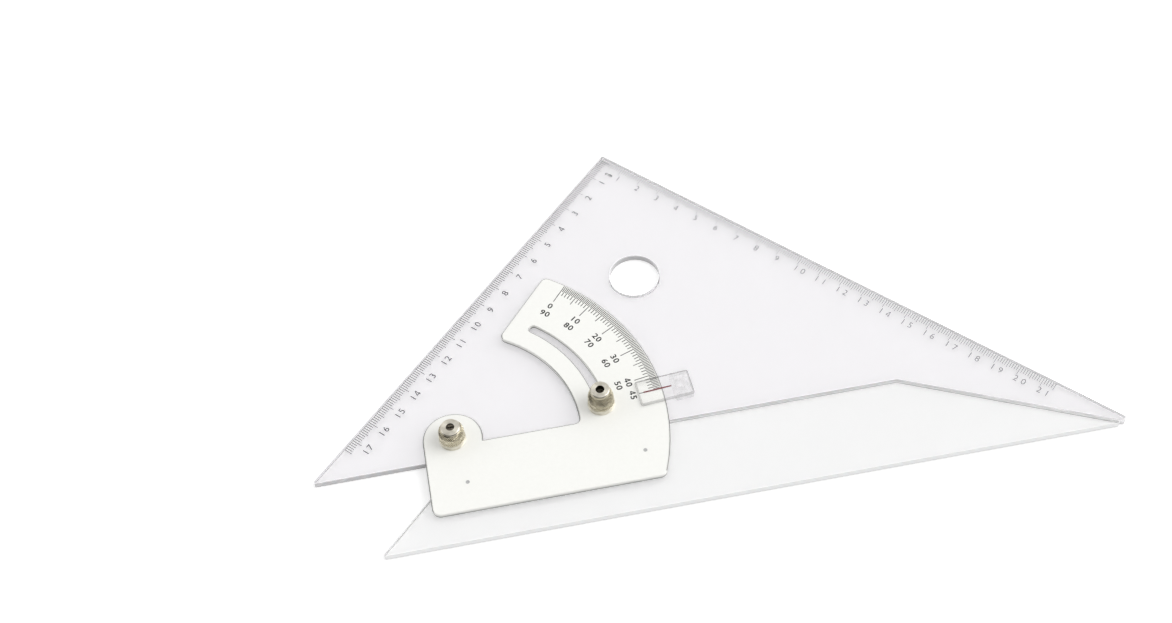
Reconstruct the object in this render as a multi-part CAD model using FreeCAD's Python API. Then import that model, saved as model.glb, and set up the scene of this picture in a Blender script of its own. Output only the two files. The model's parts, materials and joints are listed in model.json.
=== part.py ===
import FreeCAD, Part
import math
import os

# Adjustable set square: a clear limb carries a white protractor plate, and a clear
# triangular blade swings under the plate about a pivot screw. A second screw runs in
# the plate's arc slot and clamps the blade at the angle that the cursor reads.
#
# Millimetres, +Z up. In plan the ruling edge lies along X. Plan positions start at the
# blade's right-angled apex; the finished pieces are then moved so that the origin is
# the bottom centre of the whole tool.

# Clear sheets, blade and limb
SHEET_THICKNESS = 3.0
LEG_LENGTH = 245.6            # right leg, from the apex to the blunt end
BLADE_END_WIDTH = 2.16        # blunt end of the blade's slender right corner
LIMB_WIDTH = 36.55            # ruling edge to parting edge
LIMB_OVERHANG = 0.43          # ruling edge below the blade's blunt end
SLOPE_ANGLE = 24.6            # parting edge's fall beyond its kink, degrees
PARTING_GAP = 0.3             # between blade and limb when closed
CORNER_ROUND = 0.6
SHEET_EDGE_BREAK = 0.2
HOLE_RADIUS = 10.3            # large hole near the blade's middle
HOLE_OFFSET_X = 1.5
HOLE_DEPTH_FROM_APEX = 66.8

# Swing
PIVOT_FROM_TIP = 56.4         # blade's left tip to the pivot, along the long edge
PIVOT_SETBACK = 7.6           # pivot to the blade's long edge
SWING = 45.0                  # degrees from closed to fully open
SWING_CLEARANCE = 0.53        # blade to limb's left edge, fully open
HAIRLINE_ANGLE = 4.3          # cursor line when closed, degrees about the pivot
CLAMP_ANGLE = 3.8             # clamp screw when closed, degrees about the pivot

# Protractor plate
PLATE_THICKNESS = 2.0
PLATE_OUTER_RADIUS = 84.7
PLATE_INNER_RADIUS = 50.0
LOBE_RADIUS = 11.8
NOTCH_DROP = 2.6              # notch floor below the pivot
PLATE_MARGIN = 11.95          # plate's foot to the ruling edge
ARM_END_OFFSET = 10.15        # arm's end edge past the last tick
ARM_CORNER_ROUND = 2.5
FOOT_CORNER_ROUND = 3.5
HEEL_CORNER_ROUND = 3.0
NOTCH_ROUND = 2.0
PLATE_EDGE_BREAK = 0.3
SLOT_RADIUS = 59.7
SLOT_WIDTH = 3.7
SLOT_START_MARGIN = 1.0       # degrees past the clamp screw, closed
SLOT_END_MARGIN = 0.5         # degrees past the clamp screw, open
RIVET_RADIUS = 0.78
RIVET_TAIL_RADIUS = 1.3
RIVET_TAIL_HEIGHT = 0.6
RIVET_INSET_LEFT = 15.0       # left rivet from the plate's left edge
RIVET_INSET_RIGHT = 9.76      # right rivet from the plate's round edge
RIVET_INSET_FOOT = 12.3       # both rivets above the plate's foot

# Cursor
CURSOR_OVERLAP = 10.2         # window over the plate's scale
CURSOR_ABOVE_HAIRLINE = 5.2
CURSOR_BELOW_HAIRLINE = 6.3
CURSOR_THICKNESS = 1.0
CURSOR_CLEARANCE = 0.15       # window above the plate
CURSOR_CORNER_ROUND = 1.0
PAD_CLEARANCE = 3.8           # spacer outside the plate's round edge
PAD_WIDTH = 7.8

# Screws, washers and thumb nuts
SCREW_RADIUS = 1.5
SCREW_HEAD_RADIUS = 2.8
SCREW_HEAD_LAND = 0.15        # straight rim under the countersunk head
SCREW_RECESS = 0.1            # head above the table
SCREW_SLOT_WIDTH = 0.6
SCREW_SLOT_DEPTH = 0.6
SCREW_STAND = 8.6             # screw end above the plate
WASHER_BORE_CLEARANCE = 0.1
WASHER_THICKNESS = 0.8
WASHER_EDGE_BREAK = 0.15
PIVOT_WASHER_RADIUS = 5.3
CLAMP_WASHER_RADIUS = 5.4
NUT_FLANGE_HEIGHT = 1.6
NUT_FLANGE_STEP = 0.1         # flange radius under the washer's radius
NUT_GROOVE_HEIGHT = 0.2
NUT_GROOVE_DEPTH = 0.25
NUT_CAP_HEIGHT = 0.8
NUT_CAP_CHAMFER = 0.3
NUT_NECK_HEIGHT = 0.35
NUT_NECK_DEPTH = 0.4          # neck radius under the cap's radius
PIVOT_NUT_HEIGHT = 8.3
PIVOT_NUT_BARREL_RADIUS = 5.1
PIVOT_NUT_BARREL_HEIGHT = 2.9
PIVOT_NUT_CAP_RADIUS = 3.8
CLAMP_NUT_HEIGHT = 9.9
CLAMP_NUT_BARREL_RADIUS = 5.2
CLAMP_NUT_BARREL_HEIGHT = 1.9
CLAMP_NUT_CAP_RADIUS = 3.75
CLAMP_NUT_MOUTH_RADIUS = 1.72
CLAMP_NUT_MOUTH_DEPTH = 2.0
NUT_SHOULDER_BULGE = 0.12     # shoulder's rise over a straight cone, share of its length

# Fits
FILM = 0.05                   # air film between stacked sheets
FIXED_CLEARANCE = 0.03        # radial, pieces that don't move on each other
RUNNING_CLEARANCE = 0.05      # radial, screw in the plate's pivot hole and in the nuts


def plan(x, y, z=0.0):
    return FreeCAD.Vector(x, y, z)


def heading(angle):
    radians = math.radians(angle)
    return plan(math.cos(radians), math.sin(radians))


# Derived plan positions, from the apex
half_end_angle = (45.0 - SLOPE_ANGLE) / 2
end_setback = BLADE_END_WIDTH / 2 / math.sin(math.radians(half_end_angle))
sharp_tip = heading(-45.0) * (LEG_LENGTH + end_setback)
end_top = heading(-45.0) * LEG_LENGTH
end_low = sharp_tip + heading(180.0 - SLOPE_ANGLE) * end_setback
ruling_y = end_low.y - LIMB_OVERHANG
limb_top_y = ruling_y + LIMB_WIDTH
blade_low_y = limb_top_y + PARTING_GAP
slope = math.tan(math.radians(SLOPE_ANGLE))
blade_kink = plan(sharp_tip.x - (blade_low_y - sharp_tip.y) / slope, blade_low_y)
blade_left_tip = plan(blade_low_y, blade_low_y)
pivot = plan(blade_left_tip.x + PIVOT_FROM_TIP, blade_low_y + PIVOT_SETBACK)
clamp = pivot + heading(CLAMP_ANGLE) * SLOT_RADIUS

# Derived heights
plate_z = SHEET_THICKNESS + FILM
plate_top_z = plate_z + PLATE_THICKNESS
cursor_z = plate_top_z + CURSOR_CLEARANCE
screw_top_z = plate_top_z + SCREW_STAND

# Derived plate outline
plate_left_x = pivot.x - LOBE_RADIUS
plate_foot_y = ruling_y + PLATE_MARGIN
notch_y = pivot.y - NOTCH_DROP
last_tick_angle = HAIRLINE_ANGLE + SWING
rivet_y = plate_foot_y + RIVET_INSET_FOOT


def chord(radius, drop):
    """Half chord of a circle at a distance from its centre."""
    return math.sqrt(radius ** 2 - drop ** 2)


def rounded_outline(corners, radius):
    """Closed wire of straight runs with every corner rounded."""
    runs = []
    arcs = []
    for index, corner in enumerate(corners):
        back = (corners[index - 1] - corner).normalize()
        ahead = (corners[(index + 1) % len(corners)] - corner).normalize()
        half = back.getAngle(ahead) / 2
        start = corner + back * (radius / math.tan(half))
        end = corner + ahead * (radius / math.tan(half))
        inward = (back + ahead).normalize()
        middle = corner + inward * (radius / math.sin(half) - radius)
        arcs.append((start, middle, end))
    for index, (start, middle, end) in enumerate(arcs):
        runs.append(Part.LineSegment(arcs[index - 1][2], start).toShape())
        runs.append(Part.Arc(start, middle, end).toShape())
    return Part.Wire(runs)


def slab(wire, z, height):
    solid = Part.Face(wire).extrude(FreeCAD.Vector(0, 0, height))
    solid.translate(FreeCAD.Vector(0, 0, z))
    return solid


def rim_edges(solid, heights):
    """Edges that lie flat at one of the given heights."""
    def lies_at(edge, z):
        return abs(edge.BoundBox.ZMin - z) < 1e-5 and abs(edge.BoundBox.ZMax - z) < 1e-5
    return [edge for edge in solid.Edges if any(lies_at(edge, z) for z in heights)]


def break_rims(solid, size, heights):
    return solid.makeChamfer(size, rim_edges(solid, heights))


def upright_edges(solid, places):
    """Vertical edges that stand at the given plan positions."""
    def stands_at(edge, place):
        ends = [vertex.Point for vertex in edge.Vertexes]
        return all(math.hypot(end.x - place.x, end.y - place.y) < 1e-4 for end in ends)
    return [edge for edge in solid.Edges if any(stands_at(edge, place) for place in places)]


def post(centre, radius, z, height):
    return Part.makeCylinder(radius, height, plan(centre.x, centre.y, z))


def turned(centre, z, edges):
    """Solid of revolution from profile edges in the XZ plane, stood at a plan position."""
    profile = Part.Face(Part.Wire(edges))
    solid = profile.revolve(FreeCAD.Vector(), FreeCAD.Vector(0, 0, 1), 360)
    solid.translate(plan(centre.x, centre.y, z))
    return solid


def profile_lines(points):
    spots = [FreeCAD.Vector(radius, 0, height) for radius, height in points]
    return [Part.LineSegment(a, b).toShape() for a, b in zip(spots, spots[1:])]


def countersunk(centre, grow, low, high):
    """Head rim, 45 degree cone and shank of a screw; grow widens it into its hole."""
    rim = SCREW_HEAD_RADIUS + grow
    shank = SCREW_RADIUS + grow
    land_top = SCREW_RECESS + SCREW_HEAD_LAND
    solid = post(centre, rim, low, land_top - low)
    solid = solid.fuse(Part.makeCone(rim, shank, rim - shank, plan(centre.x, centre.y, land_top)))
    return solid.fuse(post(centre, shank, low, high - low))


def make_blade():
    corners = [plan(0, 0), blade_left_tip, blade_kink, end_low, end_top]
    blade = slab(rounded_outline(corners, CORNER_ROUND), 0, SHEET_THICKNESS)
    hole_centre = plan(HOLE_OFFSET_X, -HOLE_DEPTH_FROM_APEX)
    blade = blade.cut(post(hole_centre, HOLE_RADIUS, 0, SHEET_THICKNESS))
    blade = break_rims(blade, SHEET_EDGE_BREAK, [0, SHEET_THICKNESS])
    for centre in (pivot, clamp):
        blade = blade.cut(countersunk(centre, FIXED_CLEARANCE, 0, SHEET_THICKNESS))
    return blade


def limb_corners():
    """Ruling edge, sloped edge parallel to the blade's, top edge, 45 degree left edge."""
    edge_reach = PIVOT_SETBACK + SWING_CLEARANCE
    left_foot = pivot + heading(SWING - 90.0) * edge_reach
    lean = math.tan(math.radians(SWING))
    top_left = plan(left_foot.x + (limb_top_y - left_foot.y) / lean, limb_top_y)
    low_left = plan(left_foot.x + (ruling_y - left_foot.y) / lean, ruling_y)
    slope_point = blade_kink + heading(-90.0 - SLOPE_ANGLE) * PARTING_GAP
    kink = plan(slope_point.x - (limb_top_y - slope_point.y) / slope, limb_top_y)
    low_right = plan(slope_point.x - (ruling_y - slope_point.y) / slope, ruling_y)
    return [top_left, low_left, low_right, kink]


def rivet_places():
    round_edge_x = pivot.x + chord(PLATE_OUTER_RADIUS, pivot.y - rivet_y)
    left = plan(plate_left_x + RIVET_INSET_LEFT, rivet_y)
    right = plan(round_edge_x - RIVET_INSET_RIGHT, rivet_y)
    return {"plate_rivet_left": left, "plate_rivet_right": right}


def rivet(centre, grow):
    """Flush pin through plate and limb with a countersunk tail under the limb."""
    shank = post(centre, RIVET_RADIUS + grow, 0, plate_top_z)
    tail = Part.makeCone(RIVET_TAIL_RADIUS + grow, RIVET_RADIUS + grow, RIVET_TAIL_HEIGHT,
                         plan(centre.x, centre.y, 0))
    return shank.fuse(tail)


def cut_rivet_holes(solid):
    for centre in rivet_places().values():
        solid = solid.cut(rivet(centre, FIXED_CLEARANCE))
    return solid


def make_base_limb():
    limb = slab(rounded_outline(limb_corners(), CORNER_ROUND), 0, SHEET_THICKNESS)
    limb = break_rims(limb, SHEET_EDGE_BREAK, [0, SHEET_THICKNESS])
    return cut_rivet_holes(limb)


def arm_corner(radius):
    """Where the arm's end edge, parallel to the last tick, meets a circle about the pivot."""
    along = heading(last_tick_angle) * chord(radius, ARM_END_OFFSET)
    return pivot + along + heading(last_tick_angle + 90.0) * ARM_END_OFFSET


def arc_about_pivot(radius, start, end):
    """Arc edge about the pivot between two points, through the angle half way."""
    first = math.degrees(math.atan2(start.y - pivot.y, start.x - pivot.x))
    last = math.degrees(math.atan2(end.y - pivot.y, end.x - pivot.x))
    middle = pivot + heading((first + last) / 2) * radius
    return Part.Arc(start, middle, end).toShape()


def plate_outline():
    """Outline of the plate and its five corners to round, with their radii."""
    lobe_left = plan(plate_left_x, pivot.y)
    foot_left = plan(plate_left_x, plate_foot_y)
    heel = plan(pivot.x + chord(PLATE_OUTER_RADIUS, pivot.y - plate_foot_y), plate_foot_y)
    arm_outer = arm_corner(PLATE_OUTER_RADIUS)
    arm_inner = arm_corner(PLATE_INNER_RADIUS)
    notch_right = plan(pivot.x + chord(PLATE_INNER_RADIUS, NOTCH_DROP), notch_y)
    notch_left = plan(pivot.x + chord(LOBE_RADIUS, NOTCH_DROP), notch_y)
    outline = Part.Wire([
        Part.LineSegment(lobe_left, foot_left).toShape(),
        Part.LineSegment(foot_left, heel).toShape(),
        arc_about_pivot(PLATE_OUTER_RADIUS, heel, arm_outer),
        Part.LineSegment(arm_outer, arm_inner).toShape(),
        arc_about_pivot(PLATE_INNER_RADIUS, arm_inner, notch_right),
        Part.LineSegment(notch_right, notch_left).toShape(),
        arc_about_pivot(LOBE_RADIUS, notch_left, lobe_left),
    ])
    rounds = [
        (FOOT_CORNER_ROUND, [foot_left]),
        (HEEL_CORNER_ROUND, [heel]),
        (ARM_CORNER_ROUND, [arm_outer, arm_inner]),
        (NOTCH_ROUND, [notch_right]),
    ]
    return outline, rounds


def arc_slot(z, height):
    """Cutter for the clamp screw's slot, round at both ends."""
    start_angle = CLAMP_ANGLE - SLOT_START_MARGIN
    end_angle = CLAMP_ANGLE + SWING + SLOT_END_MARGIN
    inner = SLOT_RADIUS - SLOT_WIDTH / 2
    outer = SLOT_RADIUS + SLOT_WIDTH / 2
    start_cap = pivot + heading(start_angle) * SLOT_RADIUS - heading(start_angle + 90) * (SLOT_WIDTH / 2)
    end_cap = pivot + heading(end_angle) * SLOT_RADIUS + heading(end_angle + 90) * (SLOT_WIDTH / 2)
    inner_start = pivot + heading(start_angle) * inner
    outer_start = pivot + heading(start_angle) * outer
    inner_end = pivot + heading(end_angle) * inner
    outer_end = pivot + heading(end_angle) * outer
    outline = Part.Wire([
        arc_about_pivot(outer, outer_start, outer_end),
        Part.Arc(outer_end, end_cap, inner_end).toShape(),
        arc_about_pivot(inner, inner_end, inner_start),
        Part.Arc(inner_start, start_cap, outer_start).toShape(),
    ])
    return slab(outline, z, height)


def make_protractor_plate():
    outline, rounds = plate_outline()
    plate = slab(outline, plate_z, PLATE_THICKNESS)
    for radius, places in rounds:
        plate = plate.makeFillet(radius, upright_edges(plate, places))
    plate = break_rims(plate, PLATE_EDGE_BREAK, [plate_top_z])
    plate = plate.cut(arc_slot(plate_z, PLATE_THICKNESS))
    plate = plate.cut(post(pivot, SCREW_RADIUS + RUNNING_CLEARANCE, plate_z, PLATE_THICKNESS))
    return cut_rivet_holes(plate)


def cursor_slab(inner, outer, z, height, radius):
    """Rounded rectangle on the blade, laid along the hairline between two radii."""
    along = heading(HAIRLINE_ANGLE)
    across = heading(HAIRLINE_ANGLE + 90.0)
    low = across * -CURSOR_BELOW_HAIRLINE
    high = across * CURSOR_ABOVE_HAIRLINE
    corners = [along * inner + low, along * outer + low, along * outer + high, along * inner + high]
    return slab(rounded_outline([pivot + corner for corner in corners], radius), z, height)


def make_cursor_window():
    inner = PLATE_OUTER_RADIUS - CURSOR_OVERLAP
    outer = PLATE_OUTER_RADIUS + PAD_CLEARANCE + PAD_WIDTH
    return cursor_slab(inner, outer, cursor_z, CURSOR_THICKNESS, CURSOR_CORNER_ROUND)


def make_cursor_spacer():
    inner = PLATE_OUTER_RADIUS + PAD_CLEARANCE
    outer = inner + PAD_WIDTH
    height = cursor_z - SHEET_THICKNESS - 2 * FILM
    return cursor_slab(inner, outer, SHEET_THICKNESS + FILM, height, CURSOR_CORNER_ROUND)


def driver_slot(centre, z):
    """Cutter for a screwdriver slot across a screw."""
    reach = 2 * SCREW_HEAD_RADIUS
    corner = plan(centre.x - reach / 2, centre.y - SCREW_SLOT_WIDTH / 2, z)
    return Part.makeBox(reach, SCREW_SLOT_WIDTH, SCREW_SLOT_DEPTH, corner)


def make_screw(centre):
    """Countersunk screw, slotted at both ends, seated in the blade from below."""
    screw = countersunk(centre, 0, SCREW_RECESS, screw_top_z)
    screw = screw.cut(driver_slot(centre, SCREW_RECESS))
    return screw.cut(driver_slot(centre, screw_top_z - SCREW_SLOT_DEPTH))


def make_washer(centre, radius):
    bore = SCREW_RADIUS + WASHER_BORE_CLEARANCE
    edge = WASHER_EDGE_BREAK
    top = WASHER_THICKNESS
    points = [(bore, 0), (radius - edge, 0), (radius, edge), (radius, top - edge),
              (radius - edge, top), (bore, top), (bore, 0)]
    return turned(centre, plate_top_z, profile_lines(points))


def make_nut(centre, washer_radius, barrel_radius, barrel_height, cap_radius, height, mouth):
    """Thumb nut: smooth flange, barrel, domed shoulder, neck and cap; mouth widens the bore."""
    bore = SCREW_RADIUS + RUNNING_CLEARANCE
    flange = washer_radius - NUT_FLANGE_STEP
    groove = barrel_radius - NUT_GROOVE_DEPTH
    neck = cap_radius - NUT_NECK_DEPTH
    barrel_z = NUT_FLANGE_HEIGHT + NUT_GROOVE_HEIGHT
    shoulder_z = barrel_z + barrel_height
    cap_z = height - NUT_CAP_HEIGHT
    neck_z = cap_z - NUT_NECK_HEIGHT
    mouth_radius, mouth_depth = mouth
    foot = [(bore, 0), (flange, 0), (flange, NUT_FLANGE_HEIGHT), (groove, NUT_FLANGE_HEIGHT),
            (groove, barrel_z), (barrel_radius, barrel_z), (barrel_radius, shoulder_z)]
    head = [(cap_radius, neck_z), (neck, neck_z), (neck, cap_z), (cap_radius, cap_z),
            (cap_radius, height - NUT_CAP_CHAMFER), (cap_radius - NUT_CAP_CHAMFER, height),
            (mouth_radius, height), (mouth_radius, height - mouth_depth),
            (bore, height - mouth_depth - (mouth_radius - bore)), (bore, 0)]
    start = FreeCAD.Vector(barrel_radius, 0, shoulder_z)
    end = FreeCAD.Vector(cap_radius, 0, neck_z)
    run = end - start
    outward = FreeCAD.Vector(run.z, 0, -run.x) * NUT_SHOULDER_BULGE
    shoulder = Part.Arc(start, (start + end) * 0.5 + outward, end).toShape()
    edges = profile_lines(foot) + [shoulder] + profile_lines(head)
    return turned(centre, plate_top_z + WASHER_THICKNESS, edges)


def make_pivot_nut():
    mouth = (SCREW_RADIUS + RUNNING_CLEARANCE + NUT_CAP_CHAMFER / 3, NUT_CAP_CHAMFER)
    return make_nut(pivot, PIVOT_WASHER_RADIUS, PIVOT_NUT_BARREL_RADIUS, PIVOT_NUT_BARREL_HEIGHT,
                    PIVOT_NUT_CAP_RADIUS, PIVOT_NUT_HEIGHT, mouth)


def make_clamp_nut():
    mouth = (CLAMP_NUT_MOUTH_RADIUS, CLAMP_NUT_MOUTH_DEPTH)
    return make_nut(clamp, CLAMP_WASHER_RADIUS, CLAMP_NUT_BARREL_RADIUS, CLAMP_NUT_BARREL_HEIGHT,
                    CLAMP_NUT_CAP_RADIUS, CLAMP_NUT_HEIGHT, mouth)


def make_pieces():
    pieces = {
        "base_limb": make_base_limb(),
        "protractor_plate": make_protractor_plate(),
        "blade": make_blade(),
        "cursor_window": make_cursor_window(),
        "cursor_spacer": make_cursor_spacer(),
        "pivot_screw": make_screw(pivot),
        "pivot_washer": make_washer(pivot, PIVOT_WASHER_RADIUS),
        "pivot_nut": make_pivot_nut(),
        "clamp_screw": make_screw(clamp),
        "clamp_washer": make_washer(clamp, CLAMP_WASHER_RADIUS),
        "clamp_nut": make_clamp_nut(),
    }
    for name, centre in rivet_places().items():
        pieces[name] = rivet(centre, 0)
    return pieces


pieces = make_pieces()
whole = Part.makeCompound([pieces["blade"], pieces["base_limb"]]).BoundBox
origin_shift = plan(-whole.Center.x, -whole.Center.y)
os.makedirs("parts", exist_ok=True)
for name, piece in pieces.items():
    piece.translate(origin_shift)
    piece.exportStep("parts/" + name + ".step")
    print(name, "valid", piece.isValid(), "solids", len(piece.Solids), "volume", round(piece.Volume, 2))
print("pivot", pivot + origin_shift, "clamp", clamp + origin_shift, "plate top", plate_top_z)
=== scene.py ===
"""Looks for the adjustable set square: clear sheets with printed centimetre scales, a
white protractor plate with its angle scale, a cursor with a red hairline and two
knurled thumb nuts, on a white table under soft light. Metres, in the model's frame."""

import bpy
import bmesh
import json
import math
from mathutils import Matrix, Vector


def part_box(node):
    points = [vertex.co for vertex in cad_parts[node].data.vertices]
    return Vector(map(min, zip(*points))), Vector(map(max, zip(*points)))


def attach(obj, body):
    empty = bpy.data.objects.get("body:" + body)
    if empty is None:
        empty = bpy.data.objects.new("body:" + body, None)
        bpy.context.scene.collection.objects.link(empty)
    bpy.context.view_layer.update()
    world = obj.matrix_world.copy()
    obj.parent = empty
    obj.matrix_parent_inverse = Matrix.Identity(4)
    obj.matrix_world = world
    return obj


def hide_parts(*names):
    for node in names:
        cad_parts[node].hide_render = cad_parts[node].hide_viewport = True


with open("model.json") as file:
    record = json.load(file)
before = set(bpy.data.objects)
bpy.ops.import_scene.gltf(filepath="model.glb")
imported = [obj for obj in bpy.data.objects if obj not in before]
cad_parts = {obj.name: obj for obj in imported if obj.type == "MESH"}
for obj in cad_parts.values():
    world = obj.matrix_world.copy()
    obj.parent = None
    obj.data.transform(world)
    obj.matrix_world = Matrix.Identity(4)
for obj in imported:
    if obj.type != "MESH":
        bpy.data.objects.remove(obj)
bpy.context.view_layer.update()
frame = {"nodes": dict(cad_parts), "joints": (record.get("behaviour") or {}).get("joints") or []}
scene = bpy.context.scene
MM = 0.001

# ---------------------------------------------------------------- places in the frame

JOINTS = {joint["name"]: joint for joint in frame["joints"]}
PIVOT = Vector(JOINTS["blade_swing"]["pos_m"])
SHEET_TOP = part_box("base_limb")[1].z
PLATE_BOTTOM, PLATE_TOP = (corner.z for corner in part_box("protractor_plate"))
APEX_SHARP = Vector((-17.658, 88.059, 0.0)) * MM     # where the blade's two legs' lines meet
HAIRLINE_ANGLE = 4.3                                 # degrees about the pivot, closed


def heading(angle):
    """Unit vector in plan, by degrees from +X towards +Y."""
    return Vector((math.cos(math.radians(angle)), math.sin(math.radians(angle)), 0.0))


# ------------------------------------------------------------------------------ camera

CAMERA_PLACE = Vector((-0.07687, -0.41742, 0.59398))
CAMERA_TURN = 5.116          # degrees from +Y towards +X
CAMERA_PITCH = 54.181        # degrees below level
CAMERA_ROLL = -5.816
CAMERA_LENS = 54.77          # millimetres on the sensor
SENSOR_WIDTH = 36.0
NEAREST_SEEN = 0.01


def add_camera():
    turn, pitch, roll = (math.radians(a) for a in (CAMERA_TURN, CAMERA_PITCH, CAMERA_ROLL))
    ahead = Vector((math.sin(turn) * math.cos(pitch), math.cos(turn) * math.cos(pitch), -math.sin(pitch)))
    level_right = ahead.cross(Vector((0, 0, 1))).normalized()
    level_up = level_right.cross(ahead)
    right = math.cos(roll) * level_right + math.sin(roll) * level_up
    up = math.cos(roll) * level_up - math.sin(roll) * level_right
    axes = Matrix((right, up, -ahead)).transposed().to_4x4()
    camera = bpy.data.objects.new("camera", bpy.data.cameras.new("camera"))
    camera.data.sensor_width = SENSOR_WIDTH
    camera.data.lens = CAMERA_LENS
    camera.data.clip_start = NEAREST_SEEN
    camera.matrix_world = Matrix.Translation(CAMERA_PLACE) @ axes
    scene.collection.objects.link(camera)
    scene.camera = camera


# ----------------------------------------------------------------------- shading tools

NOISE_SPAN = (0.3, 0.7)          # noise values that a range is spread over
NOISE_BLEND = (0.35, 0.65)       # noise values between which one colour turns into another


def grey(level):
    return (level, level, level)


class Shading:
    """The nodes of a material or world. Each value it takes may be a number or the output
    of another node."""

    def __init__(self, owner):
        owner.use_nodes = True
        self.nodes = owner.node_tree.nodes
        self.links = owner.node_tree.links

    def add(self, kind, **settings):
        node = self.nodes.new("ShaderNode" + kind)
        for name, setting in settings.items():
            setattr(node, name, setting)
        return node

    def feed(self, socket, value):
        if isinstance(value, bpy.types.NodeSocket):
            self.links.new(value, socket)
        else:
            socket.default_value = value

    def calculate(self, operation, *values):
        node = self.add("Math", operation=operation)
        for socket, value in zip(node.inputs, values):
            self.feed(socket, value)
        return node.outputs["Value"]

    def map_range(self, value, start, end, first, second, interpolation="LINEAR"):
        """Goes from first to second while value goes from start to end."""
        node = self.add("MapRange", interpolation_type=interpolation)
        self.feed(node.inputs["Value"], value)
        span = {"From Min": start, "From Max": end, "To Min": first, "To Max": second}
        for label, setting in span.items():
            self.feed(node.inputs[label], setting)
        return node.outputs["Result"]

    def mix(self, share, first, second):
        node = self.add("Mix", data_type="FLOAT")
        for index, value in ((0, share), (2, first), (3, second)):
            self.feed(node.inputs[index], value)
        return node.outputs[0]

    def mix_colours(self, share, first, second, blend="MIX"):
        node = self.add("Mix", data_type="RGBA", blend_type=blend)
        for index, value in ((0, share), (6, first), (7, second)):
            self.feed(node.inputs[index], value)
        return node.outputs[2]

    def multiply_colours(self, first, second):
        return self.mix_colours(1.0, first, second, "MULTIPLY")

    def colour_ramp(self, value, stops):
        """stops are (position, colour) pairs, in order."""
        node = self.add("ValToRGB")
        elements = node.color_ramp.elements
        for element, (position, colour) in zip(elements, (stops[0], stops[-1])):
            element.position, element.color = position, (*colour, 1)
        for position, colour in stops[1:-1]:
            elements.new(position).color = (*colour, 1)
        self.feed(node.inputs["Fac"], value)
        return node.outputs["Color"]

    def axis(self, vector, letter):
        node = self.add("SeparateXYZ")
        self.feed(node.inputs["Vector"], vector)
        return node.outputs[letter]

    def noise(self, scale, detail=4.0):
        """Noise in the piece's own space."""
        node = self.add("TexNoise")
        node.inputs["Scale"].default_value = scale
        node.inputs["Detail"].default_value = detail
        self.feed(node.inputs["Vector"], self.add("TexCoord").outputs["Object"])
        return node.outputs["Fac"]

    def spread(self, noise, low, high):
        return self.map_range(noise, *NOISE_SPAN, low, high)

    def blend(self, noise, first, second):
        return self.colour_ramp(noise, tuple(zip(NOISE_BLEND, (first, second))))

    def by_height(self, start, end, first, second):
        """Goes from first to second between two heights above the table."""
        height = self.axis(self.add("NewGeometry").outputs["Position"], "Z")
        return self.map_range(height, start, end, first, second)

    def by_turn(self, start, end, first, second):
        """Goes from one colour to another as faces turn from side walls, 0, to flat tops, 1."""
        upright = self.axis(self.add("NewGeometry").outputs["True Normal"], "Z")
        stops = ((0.0, first), (start, first), (end, second), (1.0, second))
        return self.colour_ramp(self.calculate("ABSOLUTE", upright), stops)

    def outside_or_inside(self, outside, inside):
        """One value where a face is met from outside the piece, another from within."""
        return self.mix(self.add("NewGeometry").outputs["Backfacing"], outside, inside)

    def distance_to(self, place):
        node = self.add("VectorMath", operation="DISTANCE")
        node.inputs[1].default_value = place
        self.feed(node.inputs[0], self.add("NewGeometry").outputs["Position"])
        return node.outputs["Value"]

    def bump(self, shader, height, strength, distance):
        node = self.add("Bump")
        node.inputs["Strength"].default_value = strength
        node.inputs["Distance"].default_value = distance
        self.feed(node.inputs["Height"], height)
        self.feed(shader.inputs["Normal"], node.outputs["Normal"])


def new_material(name):
    material = bpy.data.materials.new(name)
    shading = Shading(material)
    return material, shading, shading.nodes["Principled BSDF"]


# --------------------------------------------------------------------- clear materials

ACRYLIC_IOR = 1.49
POLISHED = (0.0, 0.02)                   # roughness, from the clearest places to the haziest
HAZE_SCALE = 120.0
RIPPLE_SCALE = 60.0
RIPPLE_DEPTH = 0.01 * MM
# the rim line and the foot line are painted shade: a darker top rim seen from within the sheet, and a
# painted contact shadow along the walls' foot
RIM_HEIGHTS = (1.6 * MM, 2.0 * MM)       # between these the sheets' rim line sets in
FOOT_HEIGHTS = (0.15 * MM, 0.5 * MM)     # and here their foot line ends
FOOT_SHADE = 0.5
SHEET_WALLS = (0.78, 0.9)                # turns at which a sheet's walls become its faces
WINDOW_WALLS = (0.975, 0.99)             # the same for the cursor, with its sloping edges
SCUFFED = (0.05, 0.15)
SCUFF_SCALE = 900.0
SCUFF_SHADE = 0.85
PATCH_SCALE = 520.0


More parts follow.
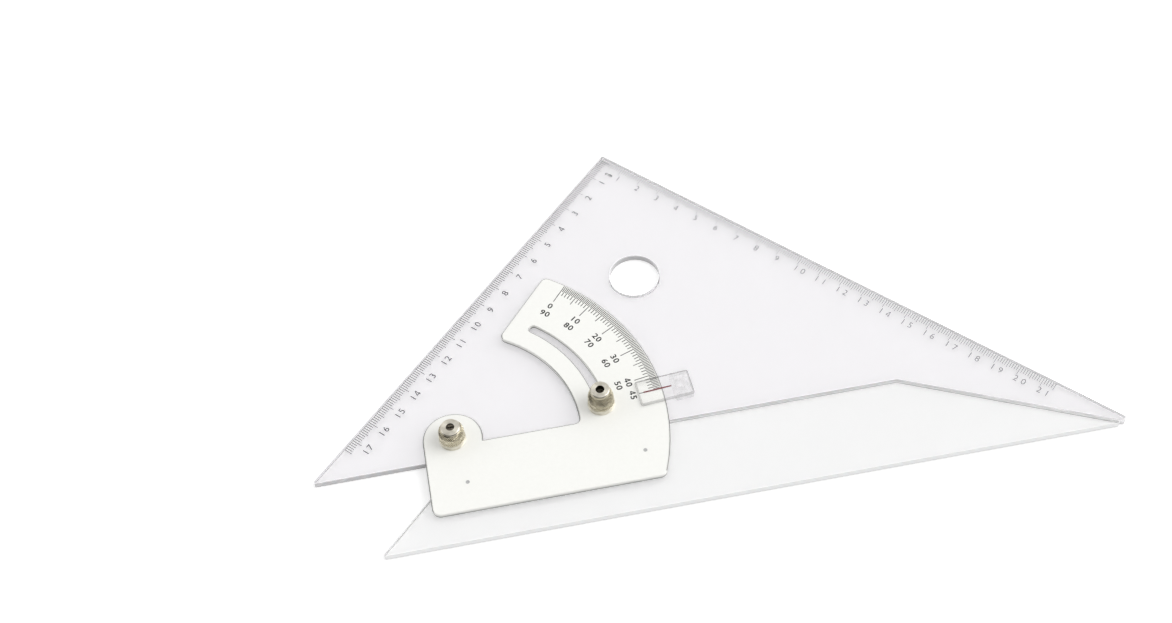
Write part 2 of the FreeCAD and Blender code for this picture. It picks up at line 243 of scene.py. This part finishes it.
def clear_acrylic(name, tint, tint_rubbed, wall_frost, inner_frost, rim_shade):
    """Polished clear sheet: faint haze where it is rubbed and a very shallow ripple on its
    faces. Its walls are partly frosted from outside, with a grey line along their foot that is
    painted contact shadow. Seen through the sheet, their frost goes from one share to another at
    the top edge, where rim_shade darkens it as painted shade."""
    material, shading, shader = new_material(name)
    haze = shading.noise(HAZE_SCALE, detail=8.0)
    wall = shading.by_turn(*SHEET_WALLS, grey(1.0), grey(0.0))
    # painted shade: darker foot of the walls from outside, darker top rim from within
    foot = shading.by_height(*FOOT_HEIGHTS, FOOT_SHADE, 1.0)
    rim = shading.by_height(*RIM_HEIGHTS, 1.0, rim_shade)
    lines = shading.outside_or_inside(foot, rim)
    lines = shading.calculate("MAXIMUM", lines, shading.calculate("SUBTRACT", 1.0, wall))
    tinted = shading.blend(haze, tint, tint_rubbed)
    shading.feed(shader.inputs["Base Color"], shading.multiply_colours(tinted, lines))
    frost = shading.outside_or_inside(wall_frost, shading.by_height(*RIM_HEIGHTS, *inner_frost))
    clear = shading.calculate("SUBTRACT", 1.0, shading.calculate("MULTIPLY", frost, wall))
    shading.feed(shader.inputs["Transmission Weight"], clear)
    shading.feed(shader.inputs["Roughness"], shading.spread(haze, *POLISHED))
    shader.inputs["IOR"].default_value = ACRYLIC_IOR
    shading.bump(shader, shading.noise(RIPPLE_SCALE, detail=2.0), 0.1, RIPPLE_DEPTH)
    return material


def clear_window(name, edge_shade_tint, face_tint, clear_face, clear_edge):
    """Thin clear plate over a print: see-through faces, patchy over a range, and greyer
    edges that are painted shade, with light scuffs."""
    material, shading, shader = new_material(name)
    scuffs = shading.noise(SCUFF_SCALE, detail=8.0)
    tinted = shading.by_turn(*WINDOW_WALLS, edge_shade_tint, face_tint)
    worn = shading.blend(scuffs, grey(1.0), grey(SCUFF_SHADE))
    shading.feed(shader.inputs["Base Color"], shading.multiply_colours(tinted, worn))
    shading.feed(shader.inputs["Roughness"], shading.spread(scuffs, *SCUFFED))
    edges = shading.by_turn(*WINDOW_WALLS, grey(clear_edge), grey(0.0))
    patches = shading.spread(shading.noise(PATCH_SCALE, detail=1.0), *clear_face)
    shading.feed(shader.inputs["Alpha"], shading.calculate("MAXIMUM", edges, patches))
    return material


BLADE_ACRYLIC = clear_acrylic("blade_acrylic", (0.995, 0.985, 1.0), (0.985, 0.975, 0.99),
                              wall_frost=0.55, inner_frost=(0.08, 0.85), rim_shade=0.22)
LIMB_ACRYLIC = clear_acrylic("limb_acrylic", (1.0, 1.0, 1.0), (0.99, 0.99, 0.99),
                             wall_frost=0.95, inner_frost=(0.5, 0.3), rim_shade=1.0)
# the window's dark grey edge tint is painted shade for its edges
WINDOW_ACRYLIC = clear_window("window_acrylic", (0.16, 0.155, 0.155), (1.0, 1.0, 1.0),
                              clear_face=(0.02, 0.04), clear_edge=0.34)
PAD_ACRYLIC = clear_window("pad_acrylic", (0.50, 0.49, 0.49), (0.50, 0.49, 0.49),
                           clear_face=(0.0, 0.13), clear_edge=0.15)


# -------------------------------------------------------------------- opaque materials

# the plate's rim line is painted shade along its side and far rims
PLATE_RIM_WIDTH = 0.85 * MM
PLATE_RIM_LEANS = (0.1, 0.42)        # lean of the rounded rim where its line sets in and is full
PLATE_RIM_SHADE = 0.22
# the plate's foot line is painted contact shadow
PLATE_FOOT_HEIGHTS = (0.4 * MM, 1.1 * MM)      # above the plate's underside
PLATE_FOOT_SHADE = 0.4
PLATE_TOPS = (0.5, 0.6)              # turns at which the plate's walls become its top
RIVET_CLEAR = 2.5 * MM               # round each rivet, where the top has no rim line
GRIME_AND_SHADE_DEPTHS = (0.5, 0.9)            # of the knurl's grooves, where the grime and painted shade set in and are full
GRIME_AND_SHADE = (0.12, 0.10, 0.05, 1.0)
LATHE_GRAIN = 0.9
ACROSS_THE_GRAIN = 0.25              # of a turn
INK_SCALE = 3000.0


def surface(name, first, second, roughness, metallic=0.0, scale=900.0, bump=0.0, bump_scale=4000.0,
            gloss=0.5, shades=(), turned=False):
    """Opaque surface: two close colours and a roughness range mixed by noise, with a fine
    bump. Each of the shades is a function that changes the colour, and turned adds the
    round grain of a lathe."""
    material, shading, shader = new_material(name)
    noise = shading.noise(scale)
    colour = shading.blend(noise, first, second)
    for shade in shades:
        colour = shade(shading, colour)
    shading.feed(shader.inputs["Base Color"], colour)
    shading.feed(shader.inputs["Roughness"], shading.spread(noise, *roughness))
    shader.inputs["Metallic"].default_value = metallic
    shader.inputs["Specular IOR Level"].default_value = gloss
    if turned:
        shader.inputs["Anisotropic"].default_value = LATHE_GRAIN
        shader.inputs["Anisotropic Rotation"].default_value = ACROSS_THE_GRAIN
        grain = shading.add("Tangent", direction_type="RADIAL", axis="Z")
        shading.feed(shader.inputs["Tangent"], grain.outputs["Tangent"])
    if bump:
        shading.bump(shader, shading.noise(bump_scale), 0.5, bump)
    return material


def printed_ink(name, first, second, roughness, gloss=0.2):
    return surface(name, first, second, roughness, scale=INK_SCALE, gloss=gloss)


def plate_foot_line(shading, colour):
    """Painted contact shadow: a darker line along the foot of the plate's walls."""
    start, end = (PLATE_BOTTOM + height for height in PLATE_FOOT_HEIGHTS)
    return shading.multiply_colours(colour, shading.by_height(start, end, PLATE_FOOT_SHADE, 1.0))


def plate_rim_line(shading, colour):
    """Painted shade: a dark line along the side and far rims of the plate's top, but not round the
    rivets. The rounded normal leans out within a width of each rim."""
    rounded = shading.add("Bevel", samples=8)
    rounded.inputs["Radius"].default_value = PLATE_RIM_WIDTH
    sideways, far = (shading.axis(rounded.outputs["Normal"], letter) for letter in "XY")
    sideways = shading.calculate("ABSOLUTE", sideways)
    # the line fades round the near corners, where the normal leans towards the near rim too
    sideways = shading.calculate("ADD", sideways, shading.calculate("MINIMUM", far, 0.0))
    lean = shading.calculate("MAXIMUM", sideways, far)
    clear = shading.by_turn(*PLATE_TOPS, grey(1.0), grey(0.0))
    for rivet in ("plate_rivet_left", "plate_rivet_right"):
        low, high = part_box(rivet)
        middle = ((low.x + high.x) / 2, (low.y + high.y) / 2, PLATE_TOP)
        near = shading.calculate("LESS_THAN", shading.distance_to(middle), RIVET_CLEAR)
        clear = shading.calculate("MAXIMUM", clear, near)
    # painted shade, darkest where the rim leans sideways or away
    line = shading.map_range(lean, *PLATE_RIM_LEANS, 1.0, PLATE_RIM_SHADE)
    return shading.multiply_colours(colour, shading.calculate("MAXIMUM", line, clear))


def knurl_grime(shading, colour):
    """Grime and painted shade in the grooves that the mesh's own "groove" values give."""
    groove = shading.add("Attribute", attribute_name="groove").outputs["Fac"]
    depth = shading.map_range(groove, *GRIME_AND_SHADE_DEPTHS, 0.0, 1.0)
    return shading.mix_colours(depth, colour, GRIME_AND_SHADE)


WHITE_PLATE = surface("white_plate", (0.94, 0.94, 0.905), (0.925, 0.925, 0.89), (0.32, 0.42),
                      bump=0.02 * MM, bump_scale=2500.0, shades=(plate_foot_line, plate_rim_line))
NICKEL = surface("nickel", (0.86, 0.82, 0.72), (0.76, 0.72, 0.61), (0.34, 0.42), metallic=1.0,
                 bump=0.003 * MM, turned=True)
# the knurl's grooves are darkened: partly grime, partly painted shade
KNURL_NICKEL = surface("knurl_nickel", (0.86, 0.80, 0.63), (0.70, 0.64, 0.48), (0.16, 0.28), metallic=1.0,
                       bump=0.003 * MM, shades=(knurl_grime,))
# near-black: partly oiled thread, mostly painted shade in the neck, on the cap's side, in the mouth and
# the bore
OILED_THREAD_AND_SHADE = surface("oiled_thread_and_painted_shade", (0.012, 0.01, 0.006), (0.03, 0.025, 0.016), (0.4, 0.6), metallic=0.6,
                      bump=0.004 * MM)
# the screws' dark colour is partly painted shade, so their ends look dark down the nut mouths
STEEL = surface("turned_steel", (0.26, 0.23, 0.18), (0.03, 0.027, 0.02), (0.25, 0.35), metallic=1.0,
                scale=1400.0, bump=0.004 * MM, turned=True)
RIVET_STEEL = surface("rivet_steel", grey(0.56), grey(0.46), (0.35, 0.5), metallic=0.4)
BLACK_INK = printed_ink("black_ink", grey(0.008), grey(0.02), (0.5, 0.65), gloss=0.15)
DARK_INK = printed_ink("dark_ink", (0.10, 0.10, 0.11), (0.15, 0.15, 0.16), (0.4, 0.55))
PALE_INK = printed_ink("pale_ink", (0.30, 0.30, 0.31), (0.38, 0.38, 0.39), (0.4, 0.55))
RED_INK = printed_ink("red_ink", (0.21, 0.003, 0.014), (0.14, 0.002, 0.01), (0.45, 0.6))

CAD_LOOKS = {
    "base_limb": LIMB_ACRYLIC,
    "blade": BLADE_ACRYLIC,
    "cursor_spacer": PAD_ACRYLIC,
    "protractor_plate": WHITE_PLATE,
    "plate_rivet_left": RIVET_STEEL,
    "plate_rivet_right": RIVET_STEEL,
    "pivot_screw": STEEL,
    "clamp_screw": STEEL,
    "pivot_washer": NICKEL,
    "clamp_washer": NICKEL,
}


def dress_cad_nodes():
    for node, material in CAD_LOOKS.items():
        mesh = frame["nodes"][node].data
        mesh.materials.clear()
        mesh.materials.append(material)


# -------------------------------------------------------------------------- mesh tools

def add_piece(name, shape, materials, body, smooth_angle=None):
    """Turns a bmesh into an object of the model, riding on a body."""
    mesh = bpy.data.meshes.new(name)
    bmesh.ops.recalc_face_normals(shape, faces=shape.faces)
    shape.to_mesh(mesh)
    shape.free()
    for material in materials:
        mesh.materials.append(material)
    if smooth_angle is not None:
        mesh.shade_smooth()
        mesh.set_sharp_from_angle(angle=math.radians(smooth_angle))
    piece = bpy.data.objects.new(name, mesh)
    scene.collection.objects.link(piece)
    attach(piece, body)
    return piece


def quads_between(lower, upper):
    """The faces' corners between two rings of as many points."""
    for step in range(len(lower)):
        following = (step + 1) % len(lower)
        yield lower[step], lower[following], upper[following], upper[step]


# ------------------------------------------------------------------------------ prints

PRINT_THICKNESS = 0.02 * MM
FONT_FIGURE_HEIGHT = 0.72     # height of a figure in Blender's own font at size 1
FONT_CURVE_STEPS = 4
# the hole in the font's own 4 fills in where weight is added, so this one is drawn as bars,
# in shares of its height
FOUR_STROKES = (((0.45, 0.0), (0.45, 1.0)), ((0.0, 0.26), (0.64, 0.26)), ((0.04, 0.28), (0.43, 0.97)))
FOUR_WIDTH = 0.64
STROKE_SHARE = 0.11
FOUR_LAYER = 0.001 * MM       # each bar lies this much higher than the one before


def add_bar(ink, start, end, width, z):
    """Flat printed line between two plan points."""
    along = (end - start).normalized()
    across = Vector((-along.y, along.x, 0)) * (width / 2)
    corners = [start - across, end - across, end + across, start + across]
    floor = [ink.verts.new((p.x, p.y, z)) for p in corners]
    roof = [ink.verts.new((p.x, p.y, z + PRINT_THICKNESS)) for p in corners]
    ink.faces.new(list(reversed(floor)))
    ink.faces.new(roof)
    for quad in quads_between(floor, roof):
        ink.faces.new(quad)


def add_four(ink, middle, reading_angle, height, z, widen, weight):
    """The figure 4 as three bars, centred on a plan point."""
    across, up = heading(reading_angle), heading(reading_angle + 90)
    corner = middle - across * (FOUR_WIDTH / 2 * height * widen) - up * (height / 2)
    for layer, stroke in enumerate(FOUR_STROKES):
        ends = [corner + across * (u * height * widen) + up * (v * height) for u, v in stroke]
        add_bar(ink, *ends, STROKE_SHARE * height + 2 * weight, z + layer * FOUR_LAYER)


def add_font_figure(ink, figure, middle, reading_angle, height, z, widen, weight):
    """A figure in Blender's own font, centred on a plan point."""
    curve = bpy.data.curves.new("figure", "FONT")
    curve.body = figure
    curve.align_x = "CENTER"
    curve.size = height / FONT_FIGURE_HEIGHT
    curve.extrude = PRINT_THICKNESS / 2
    curve.offset = weight
    curve.resolution_u = FONT_CURVE_STEPS
    holder = bpy.data.objects.new("figure", curve)
    scene.collection.objects.link(holder)
    mesh = bpy.data.meshes.new_from_object(holder)
    place = Matrix.Translation((middle.x, middle.y, z + PRINT_THICKNESS / 2))
    turn = Matrix.Rotation(math.radians(reading_angle), 4, "Z")
    drop = Matrix.Translation((0, -height / 2, 0))
    mesh.transform(place @ turn @ drop @ Matrix.Diagonal((widen, 1, 1, 1)))
    ink.from_mesh(mesh)
    bpy.data.objects.remove(holder)
    bpy.data.curves.remove(curve)
    bpy.data.meshes.remove(mesh)


def add_figures(ink, text, centre, reading_angle, height, z, pitch, widen=1.0, weight=0.0):
    """Flat printed figures, one by one at an even pitch, centred on a plan point."""
    for index, figure in enumerate(text):
        along = (index - (len(text) - 1) / 2) * pitch
        middle = centre + heading(reading_angle) * along
        if figure == "4":
            add_four(ink, middle, reading_angle, height, z, widen, weight)
        else:
            add_font_figure(ink, figure, middle, reading_angle, height, z, widen, weight)


# ---------------------------------------------------------------- scales on the blade

RIGHT_LEG, LEFT_LEG = -45, -135          # headings from the apex
RIGHT_READING, LEFT_READING = -45, 45    # headings in which the figures on them read
LEG_TICK_WIDTH = 0.26 * MM
LEG_TICK_START = 0.9 * MM                # in from the leg's edge
LEG_TICK_END = {"one": 3.9 * MM, "five": 4.6 * MM, "ten": 5.3 * MM}
LEG_FIGURE_HEIGHT = 2.9 * MM
LEG_FIGURE_WEIGHT = 0.01 * MM
UNIT_PLACE = (8.2 * MM, 7.0 * MM)        # along the right leg, and in from its edge
UNIT_HEIGHT = 1.9 * MM
UNIT_PITCH = 2.0 * MM
UNIT_WEIGHT = 0.05 * MM


def leg_tick_kind(millimetres):
    if millimetres % 10 == 0:
        return "ten"
    return "five" if millimetres % 5 == 0 else "one"


def leg_scale(name, leg, inward, reading_angle, zero, last_tick, last_figure, figure_shifts,
              figure_depth, figure_pitch, material):
    """Millimetre ticks and centimetre figures along one leg of the blade. figure_shifts are
    for figures of one and of two digits."""
    ink = bmesh.new()
    along, inward = heading(leg), heading(inward)
    for tick in range(0, last_tick + 1):
        edge = APEX_SHARP + along * (zero + tick * MM)
        start = edge + inward * LEG_TICK_START
        end = edge + inward * LEG_TICK_END[leg_tick_kind(tick)]
        add_bar(ink, start, end, LEG_TICK_WIDTH, SHEET_TOP)
    for number in range(1, last_figure + 1):
        shift = figure_shifts[len(str(number)) - 1]
        spot = APEX_SHARP + along * (zero + number * 10 * MM + shift) + inward * figure_depth
        add_figures(ink, str(number), spot, reading_angle, LEG_FIGURE_HEIGHT, SHEET_TOP, figure_pitch,
                    weight=LEG_FIGURE_WEIGHT)
    add_piece(name, ink, [material], "blade")


def blade_scales():
    leg_scale("right_leg_scale", RIGHT_LEG, LEFT_LEG, RIGHT_READING, zero=1.8 * MM, last_tick=215,
              last_figure=21, figure_shifts=(1.3 * MM, 2.2 * MM), figure_depth=6.9 * MM,
              figure_pitch=3.3 * MM, material=PALE_INK)
    leg_scale("left_leg_scale", LEFT_LEG, RIGHT_LEG, LEFT_READING, zero=2.5 * MM, last_tick=175,
              last_figure=17, figure_shifts=(0.0, 0.0), figure_depth=8.4 * MM,
              figure_pitch=2.6 * MM, material=DARK_INK)


def unit_mark():
    ink = bmesh.new()
    along, depth = UNIT_PLACE
    spot = APEX_SHARP + heading(RIGHT_LEG) * along + heading(LEFT_LEG) * depth
    add_figures(ink, "cm", spot, RIGHT_READING, UNIT_HEIGHT, SHEET_TOP, UNIT_PITCH, weight=UNIT_WEIGHT)
    add_piece("unit_mark", ink, [BLACK_INK], "blade")


# ----------------------------------------------------------------- scale on the plate

ANGLE_SPAN = 45
ANGLE_TICK_WIDTH = 0.3 * MM
ANGLE_TICKS_OUTER = 84.0 * MM            # radii about the pivot
ANGLE_TICK_INNER = {"ten": 75.3 * MM, "five": 77.6 * MM, "one": 79.3 * MM, "half": 81.2 * MM}
ANGLE_LABEL_OUTER = 72.8 * MM
ANGLE_LABEL_INNER = 68.7 * MM
ANGLE_FIGURES = {"height": 2.45 * MM, "pitch": 2.2 * MM, "widen": 1.15, "weight": 0.06 * MM}


def angle_tick_kind(degrees):
    if degrees % 10 == 0 or degrees == ANGLE_SPAN:
        return "ten"
    if degrees % 5 == 0:
        return "five"
    return "one" if degrees % 1 == 0 else "half"


def plate_scale():
    """Half-degree ticks from 45 at the closed hairline up to 0, with two rows of figures."""
    ink = bmesh.new()
    for half_degrees in range(0, 2 * ANGLE_SPAN + 1):
        value = half_degrees / 2
        outward = heading(HAIRLINE_ANGLE + ANGLE_SPAN - value)
        inner = ANGLE_TICK_INNER[angle_tick_kind(value)]
        add_bar(ink, PIVOT + outward * inner, PIVOT + outward * ANGLE_TICKS_OUTER,
                ANGLE_TICK_WIDTH, PLATE_TOP)
    for value in (*range(0, ANGLE_SPAN, 10), ANGLE_SPAN):
        angle = HAIRLINE_ANGLE + ANGLE_SPAN - value
        labels = [(value, ANGLE_LABEL_OUTER)]
        if value < ANGLE_SPAN:
            labels.append((90 - value, ANGLE_LABEL_INNER))
        for label, radius in labels:
            spot = PIVOT + heading(angle) * radius
            add_figures(ink, str(label), spot, angle - 90, z=PLATE_TOP, **ANGLE_FIGURES)
    add_piece("angle_scale", ink, [BLACK_INK], "limb")


# ------------------------------------------------------------------------------ cursor

WINDOW_CORNER = 1.0 * MM
WINDOW_CORNER_STEPS = 8
# the window's edge in section: how far in from its outline, and how far above its
# underside or below its top
WINDOW_FOOT = ((0.15 * MM, 0.01 * MM), (0.0, 0.12 * MM))
WINDOW_SHOULDER = ((0.0, 0.34 * MM), (0.12 * MM, 0.2 * MM), (0.4 * MM, 0.09 * MM), (0.8 * MM, 0.0))
HAIRLINE_START = 77.0 * MM               # radii about the pivot
HAIRLINE_END = 88.3 * MM
HAIRLINE_WIDTH = 0.6 * MM


def window_reach():
    """Reach of the cursor's window from the pivot: near, far, below and above, along the
    hairline and across it."""
    along, across = heading(HAIRLINE_ANGLE), heading(HAIRLINE_ANGLE + 90)
    points = [vertex.co - PIVOT for vertex in frame["nodes"]["cursor_window"].data.vertices]
    reach_along = [point.dot(along) for point in points]
    reach_across = [point.dot(across) for point in points]
    return min(reach_along), max(reach_along), min(reach_across), max(reach_across)


def window_ring(shape, reach, inset, z):
    """Rounded rectangle of points, in from the window's outline."""
    near, far, below, above = reach
    along, across = heading(HAIRLINE_ANGLE), heading(HAIRLINE_ANGLE + 90)
    radius = WINDOW_CORNER - inset
    corner_middles = ((far - WINDOW_CORNER, above - WINDOW_CORNER),
                      (near + WINDOW_CORNER, above - WINDOW_CORNER),
                      (near + WINDOW_CORNER, below + WINDOW_CORNER),
                      (far - WINDOW_CORNER, below + WINDOW_CORNER))
    ring = []
    for quarter, (u, v) in enumerate(corner_middles):
        for step in range(WINDOW_CORNER_STEPS + 1):
            angle = math.radians(90 * (quarter + step / WINDOW_CORNER_STEPS))
            spot = PIVOT + along * (u + radius * math.cos(angle)) + across * (v + radius * math.sin(angle))
            ring.append(shape.verts.new((spot.x, spot.y, z)))
    return ring


def cursor_window():
    """Clear cursor with softly rounded edges, in the place of its CAD node."""
    low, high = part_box("cursor_window")
    reach = window_reach()
    shape = bmesh.new()
    rings = [window_ring(shape, reach, inset, low.z + rise) for inset, rise in WINDOW_FOOT]
    rings += [window_ring(shape, reach, inset, high.z - drop) for inset, drop in WINDOW_SHOULDER]
    for lower, upper in zip(rings, rings[1:]):
        for quad in quads_between(lower, upper):
            shape.faces.new(quad)
    shape.faces.new(list(reversed(rings[0])))
    shape.faces.new(rings[-1])
    piece = add_piece("cursor_glass", shape, [WINDOW_ACRYLIC], "blade", smooth_angle=30)
    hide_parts("cursor_window")


def cursor_hairline():
    """Red line under the cursor window."""
    ink = bmesh.new()
    outward = heading(HAIRLINE_ANGLE)
    under_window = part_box("cursor_window")[0].z - PRINT_THICKNESS
    add_bar(ink, PIVOT + outward * HAIRLINE_START, PIVOT + outward * HAIRLINE_END,
            HAIRLINE_WIDTH, under_window)
    add_piece("cursor_hairline", ink, [RED_INK], "blade")


# -------------------------------------------------------------------------- thumb nuts

# flange, barrel, cap and mouth are radii, and height is the whole nut's
NUTS = {
    "pivot_nut": {"flange": 5.2 * MM, "barrel": 5.1 * MM, "barrel_height": 2.9 * MM, "cap": 3.8 * MM,
                  "height": 8.3 * MM, "mouth": 1.65 * MM, "mouth_depth": 0.3 * MM},
    "clamp_nut": {"flange": 5.3 * MM, "barrel": 5.2 * MM, "barrel_height": 1.9 * MM, "cap": 3.75 * MM,
                  "height": 9.9 * MM, "mouth": 1.72 * MM, "mouth_depth": 2.0 * MM},
}
KNURLS_AROUND = 40
KNURL_STEPS = 6               # mesh steps across one diamond, both ways
NUT_SEGMENTS = KNURLS_AROUND * KNURL_STEPS
KNURL_RISE = 0.87 * MM        # wanted height of one diamond
KNURL_DEPTH = 0.28 * MM
KNURL_RUN_IN = 1 / 6          # share of the knurl's height over which it deepens, at each end
SHOULDER_BULGE = 0.42 * MM
FLANGE_HEIGHT = 1.6 * MM
GROOVE_HEIGHT = 0.2 * MM
GROOVE_DEPTH = 0.25 * MM
NECK_HEIGHT = 0.35 * MM
NECK_DEPTH = 0.4 * MM
CAP_HEIGHT = 0.8 * MM
CAP_CHAMFER = 0.3 * MM
BORE = 1.55 * MM
EDGE = 0.06 * MM              # tiny round on the turned edges
NUT_MATERIALS = [NICKEL, OILED_THREAD_AND_SHADE, KNURL_NICKEL]
# DARK faces take the near-black material, which is painted shade there
PLAIN, DARK, KNURLED = range(3)          # places in NUT_MATERIALS


def knurl_depth(across, up):
    """0 on the diamonds' tips, 1 in the crossing grooves; one diamond is one unit each way."""
    return 1 - min(2 * abs((across + way * up + 0.5) % 1 - 0.5) for way in (-1, 1))


def nut_profile(flange, barrel, barrel_height, cap, height, mouth, mouth_depth):
    """Rows of radius, height, material up to the next row, knurl step and knurl share, from
    the bore's foot round to its mouth."""
    barrel_z = FLANGE_HEIGHT + GROOVE_HEIGHT
    shoulder_z = barrel_z + barrel_height
    cap_z = height - CAP_HEIGHT
    neck_z = cap_z - NECK_HEIGHT
    groove = barrel - GROOVE_DEPTH
    neck = cap - NECK_DEPTH
    foot = [(BORE, 0), (flange - EDGE, 0), (flange, EDGE), (flange, FLANGE_HEIGHT - EDGE),
            (flange - EDGE, FLANGE_HEIGHT), (groove, FLANGE_HEIGHT), (groove, barrel_z)]
    rows = [(radius, z, PLAIN, 0, 0) for radius, z in foot]
    steps = KNURL_STEPS * round((neck_z - barrel_z) / KNURL_RISE)
    for step in range(steps + 1):
        z = barrel_z + (neck_z - barrel_z) * step / steps
        radius = barrel
        if z > shoulder_z:
            climb = (z - shoulder_z) / (neck_z - shoulder_z)
            radius += (cap - barrel) * climb + SHOULDER_BULGE * math.sin(math.pi * climb)
        material = KNURLED if step < steps else PLAIN
        share = min(1, step / steps / KNURL_RUN_IN, (steps - step) / steps / KNURL_RUN_IN)
        rows.append((min(radius, barrel), z, material, step, share))
    # the neck, the cap's side, the mouth and the bore are DARK: painted shade
    head = [(neck, neck_z + EDGE, DARK), (neck, cap_z, PLAIN), (cap - CAP_CHAMFER / 2, cap_z, PLAIN),
            (cap, cap_z + CAP_CHAMFER / 2, DARK), (cap, height - CAP_CHAMFER, PLAIN),
            (cap - CAP_CHAMFER, height, PLAIN), (mouth + EDGE, height, PLAIN),
            (mouth, height - EDGE, DARK), (mouth, height - mouth_depth, DARK),
            (BORE, height - mouth_depth - (mouth - BORE), DARK)]
    return rows + [(radius, z, material, 0, 0) for radius, z, material in head]


def add_nut(node, profile):
    """Knurled nut turned about its CAD node's centre, with its grooves along mesh edges."""
    low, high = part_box(node)
    centre = (low + high) / 2
    shape = bmesh.new()
    groove = shape.verts.layers.float.new("groove")
    rings = []
    for radius, z, _, up, share in profile:
        ring = []
        for step in range(NUT_SEGMENTS):
            depth = knurl_depth(step / KNURL_STEPS, up / KNURL_STEPS) if share else 0.0
            spot = centre + heading(360 * step / NUT_SEGMENTS) * (radius - KNURL_DEPTH * share * depth)
            ring.append(shape.verts.new((spot.x, spot.y, low.z + z)))
            ring[-1][groove] = depth
        rings.append(ring)
    for (_, _, material, up, _), lower, upper in zip(profile, rings, rings[1:] + rings[:1]):
        for step, corners in enumerate(quads_between(lower, upper)):
            faces = (corners,)
            # a quad that a groove crosses is split along it
            if material == KNURLED and (up - step) % KNURL_STEPS == 0:
                faces = (corners[:3], (corners[0], corners[2], corners[3]))
            elif material == KNURLED and (up + step + 1) % KNURL_STEPS == 0:
                faces = ((corners[0], corners[1], corners[3]), corners[1:])
            for face in faces:
                shape.faces.new(face).material_index = material
    piece = add_piece(node + "_knurled", shape, NUT_MATERIALS, node, smooth_angle=25)
    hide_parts(node)


# --------------------------------------------------------------------------- the table

FLOOR_HALF_SIZE = 3.0
FLOOR_DROP = 0.05 * MM
FLOOR_GREY = (0.7, 0.7, 0.7, 1)
FLOOR_LIFT = 0.46                 # added to the floor that the camera sees
FLOOR_LIFT_THROUGH = 0.53         # and to the floor seen through or in a piece


def table_material():
    """White table. What it adds for the camera, mirrors and clear pieces keeps it white."""
    material, shading, shader = new_material("white_table")
    shader.inputs["Base Color"].default_value = FLOOR_GREY
    shader.inputs["Roughness"].default_value = 0.9
    shader.inputs["Specular IOR Level"].default_value = 0.0
    shader.inputs["Emission Color"].default_value = (1, 1, 1, 1)
    path = shading.add("LightPath").outputs
    lifts = [shading.calculate("MULTIPLY", path[ray], lift) for ray, lift in
             (("Is Camera Ray", FLOOR_LIFT), ("Is Glossy Ray", FLOOR_LIFT_THROUGH),
              ("Is Transmission Ray", FLOOR_LIFT_THROUGH))]
    lift = shading.calculate("MAXIMUM", shading.calculate("MAXIMUM", lifts[0], lifts[1]), lifts[2])
    shading.feed(shader.inputs["Emission Strength"], lift)
    return material


def add_floor():
    """Flat square just under the tool."""
    shape = bmesh.new()
    corners = ((-1, -1), (1, -1), (1, 1), (-1, 1))
    shape.faces.new([shape.verts.new((x * FLOOR_HALF_SIZE, y * FLOOR_HALF_SIZE, -FLOOR_DROP))
                     for x, y in corners])
    mesh = bpy.data.meshes.new("floor")
    shape.to_mesh(mesh)
    shape.free()
    mesh.materials.append(table_material())
    floor = bpy.data.objects.new("floor", mesh)
    scene.collection.objects.link(floor)


# ----------------------------------------------------------------------------- the room

SKY_LEVEL = 0.71
HORIZON_LEVEL = 0.6
SKY_RISE = (0.05, 0.5)            # heights on the sky between which its level changes
# dark doorways: direction, cosines of the angles where each starts and is darkest
DOORWAYS = ((Vector((-0.75, -0.62, 0.08)), (0.70, 0.92)), (Vector((-0.85, 0.5, 0.05)), (0.8, 0.95)))
DOORWAY_SHARE = 0.05              # of the light, left in them
# soft windows: direction, cosines of the angles where it starts and is brightest, strength
WINDOWS = ((Vector((1.1, -0.1, 0.8)), (0.8, 0.97), 2.4),
           (Vector((-0.9, 0.2, 0.45)), (0.93, 0.985), 1.2))


def add_world():
    """Soft white room, a little dimmer near the horizon, with two soft windows. Two dark
    doorways low down on the left are there only for what the pieces reflect. White where
    the camera sees it."""
    world = bpy.data.worlds.new("soft_room")
    scene.world = world
    shading = Shading(world)
    direction = shading.add("TexCoord").outputs["Generated"]
    path = shading.add("LightPath").outputs

    def patch(middle, angles, outside, inside):
        towards = shading.add("VectorMath", operation="DOT_PRODUCT")
        towards.inputs[1].default_value = middle.normalized()
        shading.feed(towards.inputs[0], direction)
        return shading.map_range(towards.outputs["Value"], *angles, outside, inside, "SMOOTHSTEP")

    height = shading.axis(direction, "Z")
    level = shading.map_range(height, *SKY_RISE, HORIZON_LEVEL, SKY_LEVEL, "SMOOTHSTEP")
    doorways = (patch(middle, angles, 1.0, DOORWAY_SHARE) for middle, angles in DOORWAYS)
    mirrored = shading.mix(path["Is Glossy Ray"], 1.0, shading.calculate("MULTIPLY", *doorways))
    level = shading.calculate("MULTIPLY", level, mirrored)
    for middle, angles, strength in WINDOWS:
        level = shading.calculate("ADD", level, patch(middle, angles, 0.0, strength))
    seen = shading.mix(path["Is Camera Ray"], level, 1.0)
    shading.feed(shading.nodes["Background"].inputs["Color"], seen)


add_camera()
dress_cad_nodes()
blade_scales()
unit_mark()
plate_scale()
cursor_window()
cursor_hairline()
for nut, measures in NUTS.items():
    add_nut(nut, nut_profile(**measures))
add_floor()
add_world()
scene.view_settings.view_transform = "Standard"
